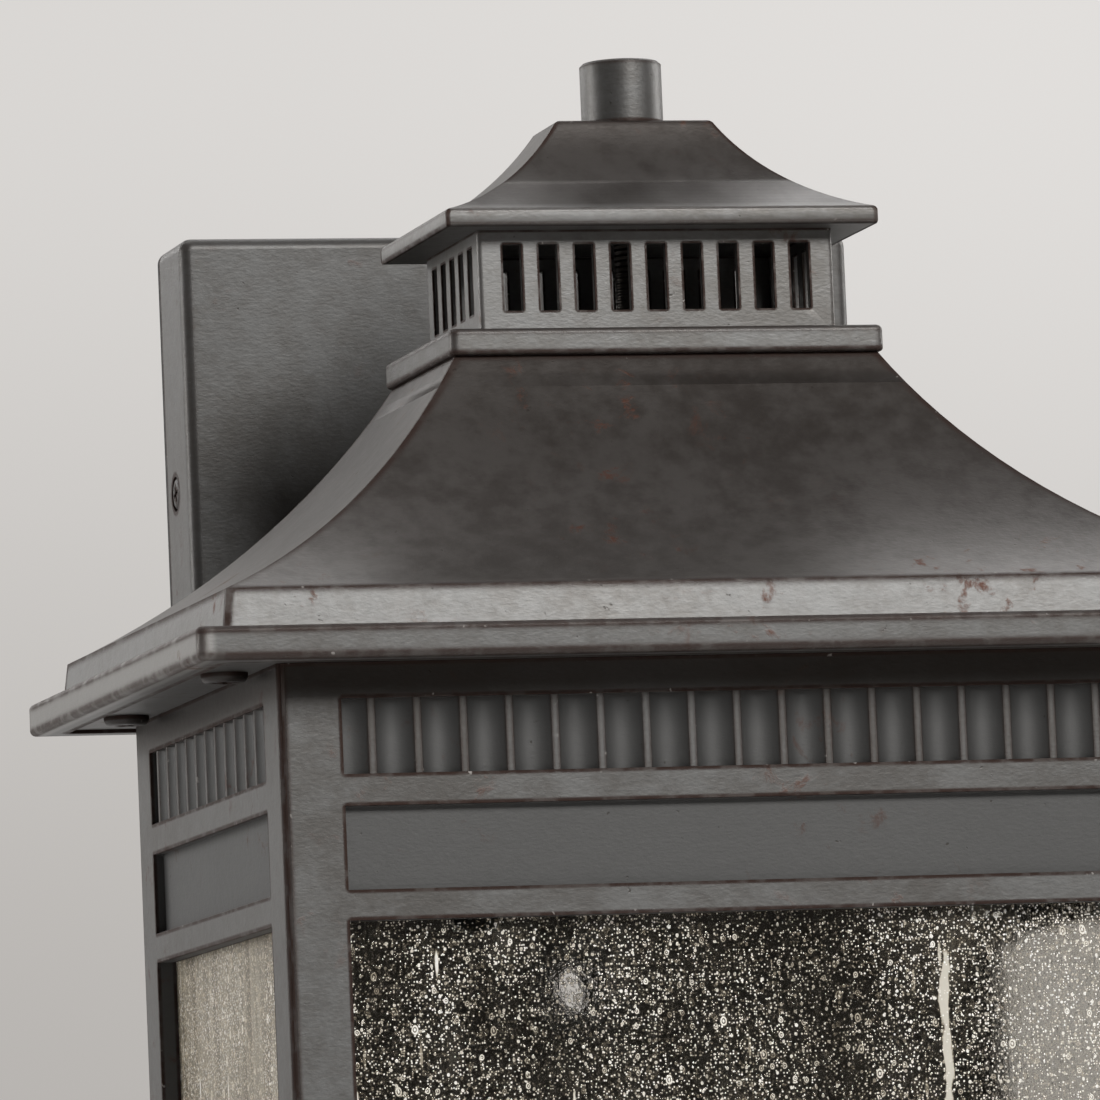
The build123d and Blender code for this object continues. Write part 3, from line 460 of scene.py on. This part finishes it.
def drive(screw, name, places, direction, node, body):
    """Copies of a screw at their holes, joined as one piece; direction is where the heads face.

    node is the CAD node that the row replaces; it is None for a further row of the same node."""
    turn = Vector(direction).to_track_quat("Z", "Y").to_matrix().to_4x4()
    bpy.ops.object.select_all(action="DESELECT")
    for i, place in enumerate(places):
        item = bpy.data.objects.new(f"{name}_{i}", screw.data.copy())
        bpy.context.collection.objects.link(item)
        spin = Matrix.Rotation(next_turn * i + first_turn, 4, "Z")
        item.data.transform(Matrix.Translation(place) @ turn @ spin)
        item.select_set(True)
        bpy.context.view_layer.objects.active = item
    if len(places) > 1:
        bpy.ops.object.join()
    row = bpy.context.active_object
    row.name = name
    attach(row, body)
    if node:
        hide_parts(node)


side_screw_x, side_screw_y, side_screw_z = 61.5 * mm, -8 * mm, 47.7 * mm
m3_bronze = pan_head("m3_bronze", 3 * mm, 8 * mm, screw_bronze)
for side, way, node in (("left", -1, "side_screws"), ("right", 1, None)):
    places = [(way * side_screw_x, side_screw_y, z) for z in (side_screw_z, -side_screw_z)]
    drive(m3_bronze, f"side_screws_{side}", places, (way, 0, 0), node, "lantern")
bpy.data.objects.remove(m3_bronze)

earth_screw_place = (0, -1.6 * mm, 44 * mm)
place, close = material("green_enamel")
flow = place.noise(300, 3)
green = close(place.principled({
    "Base Color": flow.blend((0.02, 0.12, 0.03), (0.03, 0.17, 0.05)), "Roughness": 0.25 + 0.1 * flow,
    "Coat Weight": 0.4}))
earth = pan_head("earth", 4 * mm, 1.6 * mm, green)
drive(earth, "earth_screw_head", [earth_screw_place], (0, -1, 0), "earth_screw", "lantern")
bpy.data.objects.remove(earth)

# ---- Neck ----------------------------------------------------------------------------------------
# A short hollow casting carries the lantern on the plate, with a lip where it meets the plate.
# Four bronze-painted bolts run through back wall, neck and plate into zinc-plated nuts; a rubber
# grommet guards the wires.
casting("neck", "neck_casting", "lantern", 0.5 * mm, bronze("neck_bronze", 0.9, tone=0.9))
place, close = material("grommet_rubber")
dust = place.noise(500, 4)
rubber = close(place.principled({
    "Base Color": dust.blend((0.012, 0.012, 0.012), (0.035, 0.034, 0.032)), "Roughness": 0.6 + 0.25 * dust,
    "Normal": dust.bump(0.2, 0.3 * mm)}))
dress("wire_grommet", rubber)
dress("neck_nuts", zinc)
dress("neck_bolts", screw_bronze)

# ---- Lantern walls -------------------------------------------------------------------------------
# Four castings mitred at the corners. Three have a frieze of hollow flutes between flat fillets, a
# sunk panel under it and a window; the back one is plain. All are bronze painted inside and out.
# The left and right walls get a lower tone than front and back: painted shade on the sides.
for side, bevel, shift, tone in (("front", 0.28 * mm, 2.1, 0.92), ("left", 0.28 * mm, 3.3, 0.78),
                                 ("right", 0.28 * mm, 4.2, 0.78), ("back", 0.4 * mm, 5.7, 0.9)):
    finish = bronze(f"{side}_bronze", shift, tone, wall=True)
    casting(f"{side}_wall", f"{side}_casting", "lantern", bevel, finish)

# ---- Glass ---------------------------------------------------------------------------------------
# Three flat panes of seeded glass. The seeds are air bubbles of five sizes and drawn-out ones, with
# fine dust between them, and the surface has slow waves; each pane has its own pattern. Their pale
# tints are painted glints of light caught in the bubbles, and their darker rings painted shade.
# Each layer of seeds: cells in a metre, where in a cell the bubble starts to fade and is gone, the
# share of cells left empty, the upright scale, where less is taller, and how dark its middle is, a
# painted shade.
SEED_LAYERS = ((2300.0, 0.20, 0.44, 0.44, 1.0, 0.0), (1500.0, 0.16, 0.34, 0.52, 0.9, 0.0),
               (900.0, 0.17, 0.29, 0.64, 0.85, 0.3), (520.0, 0.17, 0.26, 0.74, 0.8, 0.7),
               (300.0, 0.13, 0.21, 0.84, 0.7, 0.8), (620.0, 0.10, 0.26, 0.90, 0.14, 0.0))
CLEAR_GLASS, TAN_DARK, TAN_LIGHT = (0.96, 0.95, 0.92, 1), (0.095, 0.074, 0.048), (0.36, 0.325, 0.255)
SEED_GLINT_TINTS = [(0.0, (0.46, 0.34, 0.20)), (0.25, (0.66, 0.56, 0.40)), (0.5, (0.84, 0.79, 0.68)),
              (0.9, (0.96, 0.95, 0.93))]
seed_drift, layer_shift = 0.22 * mm, 0.001
# Lengths, tip and bend of a long bright streak on the front pane: a painted refraction.
refraction_short, refraction_long, refraction_tip, refraction_bend = 34 * mm, 42 * mm, 1.5 * mm, 3 * mm


def seeded(name, node, shift, along, film, run=None):
    """Seeded glass; along is the pane's level axis, 0 or 1, and film how milky it looks from aslant.

    The seeds lie just under the outer face, past the middle of the pane's thickness. run is the
    level place, the top and the width of a long bright streak, a painted refraction of the bright
    background seen through a wave in the glass."""
    place, close = material(name)
    level, rise, across = place.axis(along), place.axis(2), place.axis(1 - along)
    low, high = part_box(node)
    middle, half = (low[1 - along] + high[1 - along]) / 2, (high[1 - along] - low[1 - along]) / 2
    outwards = 1.0 if node == "glass_right" else -1.0
    outer_face = ((across - middle) * outwards).step(0.5 * half, 0.8 * half)
    plain = place.node("ShaderNodeCombineXYZ", None, {0: level + shift, 1: rise + shift})
    wobble = plain.node("ShaderNodeTexNoise", {"noise_dimensions": "2D"},
                        {"Vector": plain, "Scale": 900.0}, out=1)
    drift = wobble.node("ShaderNodeVectorMath", {"operation": "SCALE"}, {0: wobble, "Scale": seed_drift})
    face = place.node("ShaderNodeVectorMath", {"operation": "ADD"}, {0: plain, 1: drift})
    streak = plain.stretched(1, 0.06, 1).noise(300, 4, 0.65)
    crowd = plain.stretched(1, 0.4, 1).noise(60, 4)
    flat = {"voronoi_dimensions": "2D"}
    seeds = None
    for scale, inner, outer, empty, stretch, rim in SEED_LAYERS:
        spot = face.stretched(1, stretch, 1, scale * layer_shift)
        gap = spot.cells(scale, settings=flat)
        dice = spot.cells(scale, out=1, settings=flat)
        chosen, glint = dice.channel(0).step(empty, empty + 0.05), dice.channel(1)
        # Each bubble's brightness is a painted glint of light caught in it.
        bubble = (1.0 - gap.step(inner, outer)) * chosen * (0.12 + 0.86 * glint * glint)
        if rim:
            # A darker ring inside the bubble round a bright middle dot: painted shade and painted glint.
            bubble = bubble * (1.0 - rim * (gap.step(0.04, 0.07) - gap.step(0.6 * inner, inner)))
        seeds = bubble if seeds is None else seeds.larger(bubble)
    dust = plain.stretched(1, 0.8, 1).noise(1300, 3, 0.7).step(0.48, 0.70) * (0.6 + 0.4 * streak)
    seeds = (seeds + 0.26 * dust) * (0.5 + 0.5 * crowd.step(0.35, 0.6))
    # A long bright streak: a painted refraction of the bright background through a wave in the glass.
    if run:
        spot, top, width = run
        bend = refraction_bend * (plain.stretched(1, 1, 1, 3.0).noise(70, 2) - 0.5)
        fray = width * (2.4 * plain.stretched(1, 0.45, 1).noise(420, 4) - 1.2)
        ragged = abs(level - spot + bend) + fray
        below_top = 1.0 - rise.step(top - refraction_tip, top)
        reach = rise.step(top - refraction_long, top - refraction_short) * below_top
        painted_refraction = (1.0 - ragged.step(0.6 * width, 1.1 * width)) * reach
        seeds = seeds.larger(0.50 * painted_refraction)
    seeds = seeds * outer_face
    bump = (seeds + 0.4 * plain.noise(60, 1) + 0.15 * streak).bump(0.25, 0.4 * mm)
    clear = place.principled({"Base Color": CLEAR_GLASS, "Roughness": 0.02, "IOR": 1.3,
                              "Transmission Weight": 1.0, "Normal": bump})
    slant = place.node("ShaderNodeLayerWeight", None, {"Blend": 0.5}, out=1).step(0.35, 0.85)
    tan = streak.step(0.30, 0.70).blend(TAN_DARK, TAN_LIGHT)
    # Pale seed tints: painted glints of light caught in the bubbles.
    glint_tint = seeds.node("ShaderNodeValToRGB", {"stops": SEED_GLINT_TINTS}, {"Fac": seeds})
    air = place.principled({"Base Color": seeds.step(0.02, 0.25).blend(tan, glint_tint), "Roughness": 0.35,
                            "Normal": bump, "Transmission Weight": 0.2, "IOR": 1.3})
    haze = (0.02 + 0.14 * crowd.step(0.52, 0.72)) * outer_face
    cover = (0.94 * seeds.step(0.0, 0.7)).larger(haze).larger(film * slant)
    return close(place.node("ShaderNodeMixShader", None, {0: cover, 1: clear, 2: air}))


# The front pane's bright streak: a painted refraction.
front_refraction = (35.0 * mm, -46.5 * mm, 0.9 * mm)
for side, shift, along, film, run in (("front", 0.11, 0, 0.5, front_refraction),
                                      ("left", 0.53, 1, 0.86, None), ("right", 0.87, 1, 0.0, None)):
    finish = seeded(f"seeded_{side}", f"glass_{side}", shift, along, film, run)
    casting(f"glass_{side}", f"pane_{side}", "lantern", 0.3 * mm, finish)

# ---- Glass clips ---------------------------------------------------------------------------------
# Spring-steel clips screwed inside the middle rail step over the head of each pane and hold it.
# Their screws are short and zinc plated.
dress("glass_clips", steel("spring_steel", (0.50, 0.50, 0.49)))
m3_clip = pan_head("m3_clip", 3 * mm, 2.6 * mm, zinc)
clip_z, clip_depth = -18.15 * mm, 4.2 * mm      # height, and how far in from the wall's outer face
clip_spread_x, clip_spread_y = 45 * mm, 28 * mm
wall_x, wall_y = 78.7 * mm, 57.975 * mm         # the walls' outer faces, from the centre line
clip_x, clip_y = wall_x - clip_depth, wall_y - clip_depth
places = [(x, centre_y - clip_y, clip_z) for x in (-clip_spread_x, clip_spread_x)]
drive(m3_clip, "clip_screws_front", places, (0, 1, 0), "clip_screws", "lantern")
for side, way in (("left", -1), ("right", 1)):
    places = [(way * clip_x, centre_y + y, clip_z) for y in (-clip_spread_y, clip_spread_y)]
    drive(m3_clip, f"clip_screws_{side}", places, (-way, 0, 0), None, "lantern")
bpy.data.objects.remove(m3_clip)

# ---- Soffit and base -----------------------------------------------------------------------------
# The soffit plate closes the overhang and is screwed to the walls from above; the base is screwed
# to them from below. Four bronze screws come up through the soffit into the roof.


def corners(x, y):
    """Four places round the centre line, x and y away from it."""
    return [(across * x, centre_y + out * y) for across in (-1, 1) for out in (-1, 1)]


roof_screws = corners(83.8 * mm, 40.35 * mm)
wall_screws = corners(50.4 * mm, 52.85 * mm) + corners(73.5 * mm, 37.1 * mm)
roof_screw_z, flange_screw_z, base_screw_z = 3.1 * mm, 6.1 * mm, -248.4 * mm
casting("soffit_plate", "soffit_casting", "lantern", 0.3 * mm, bronze("soffit_bronze", 6.4, tone=0.7))
casting("base_plate", "base_casting", "lantern", 0.6 * mm, bronze("base_bronze", 7.9))
for name, thread, length, finish, spots, z, way, row, node in (
        ("m4_roof", 4 * mm, 9 * mm, screw_bronze, roof_screws, roof_screw_z, -1,
         "soffit_screw_row", "soffit_screws"),
        ("m3_top", 3 * mm, 6 * mm, zinc, wall_screws, flange_screw_z, 1,
         "flange_screw_row", "flange_screws"),
        ("m3_base", 3 * mm, 9 * mm, screw_bronze, wall_screws, base_screw_z, -1,
         "base_screw_row", "base_screws")):
    screw = pan_head(name, thread, length, finish)
    drive(screw, row, [(x, y, z) for x, y in spots], (0, 0, way), node, "lantern")
    bpy.data.objects.remove(screw)

# ---- Lampholder and lamp -------------------------------------------------------------------------
# A white glazed ceramic holder stands on the base over a threaded tube and nut, with a brass sleeve
# and contact inside. The lamp has an aluminium screw cap and an opal globe.
place, close = material("white_glaze")
craze = place.noise(90, 5)
glaze = close(place.principled({
    "Base Color": craze.blend((0.74, 0.72, 0.67), (0.82, 0.80, 0.76)), "Roughness": 0.10 + 0.10 * craze,
    "Coat Weight": 0.6, "Normal": craze.bump(0.06, 0.5 * mm)}))
place, close = material("opal_glass")
milk = place.noise(60, 3)
opal = close(place.principled({
    "Base Color": milk.blend((0.86, 0.85, 0.82), (0.92, 0.91, 0.88)), "Roughness": 0.16 + 0.06 * milk,
    "Coat Weight": 0.3}))
dress("lampholder_body", glaze)
dress("lampholder_sleeve", steel("pressed_brass", (0.72, 0.52, 0.22), 90.0))
dress("lampholder_contact", steel("contact_brass", (0.70, 0.50, 0.21)))
dress("lampholder_nipple", steel("tube_steel", (0.52, 0.50, 0.46), 320.0))
dress("lampholder_nut", zinc)
dress("lamp_cap", steel("cap_aluminium", (0.74, 0.74, 0.75), 90.0))
dress("lamp_globe", opal)

# ---- Roof ----------------------------------------------------------------------------------------
# One hollow casting: four hollow-curved slopes that meet in soft hips, over an eave of two steps.
# The slopes are darker and browner than the eave, with rust freckles. A ring plate lies on top.
roof_slope = 14.6 * mm      # where the eave ends and the dark slopes begin
casting("roof_shell", "roof_casting", "roof", 0.6 * mm,
        bronze("roof_bronze", 8.6, freckles=0.9, arris=1.7 * mm, slope=roof_slope))
# A tone above 1 paints the ring plate lighter: painted light on the lit top.
casting("ring_plate", "ring_casting", "roof", 0.4 * mm,
        bronze("ring_bronze", 9.8, tone=1.16, arris=1.2 * mm))

# ---- Louvre box and cupola -----------------------------------------------------------------------
# A thin box with upright slots on all four sides lets the warm air out under the cupola, a small
# copy of the roof with one thin edge.
# A tone above 1 paints the louvre box lighter: painted light on the lit top.
casting("louvre_box", "louvre_casting", "roof", 0.3 * mm,
        bronze("louvre_bronze", 10.3, tone=1.3, arris=0.5 * mm))
cupola_slope = 83.6 * mm
# A tone above 1 paints the cupola lighter: painted light on the lit top.
casting("cupola_cap", "cupola_casting", "cupola", 0.5 * mm,
        bronze("cupola_bronze", 11.2, tone=1.28, freckles=0.8, arris=0.9 * mm, slope=cupola_slope))

# ---- Knob and tie rod ----------------------------------------------------------------------------
# A turned knob screws down on a rod that runs through cupola and louvre box to a bridge bar and nut
# under the roof, and holds the stack together.
casting("finial_knob", "knob_turning", "knob", 0.3 * mm,
        bronze("knob_bronze", 12.4, tone=0.8, freckles=0.3))
dress("tie_rod", steel("rod_steel", (0.07, 0.062, 0.055), 320.0))
dress("bridge_bar", zinc)
dress("rod_nut", zinc)
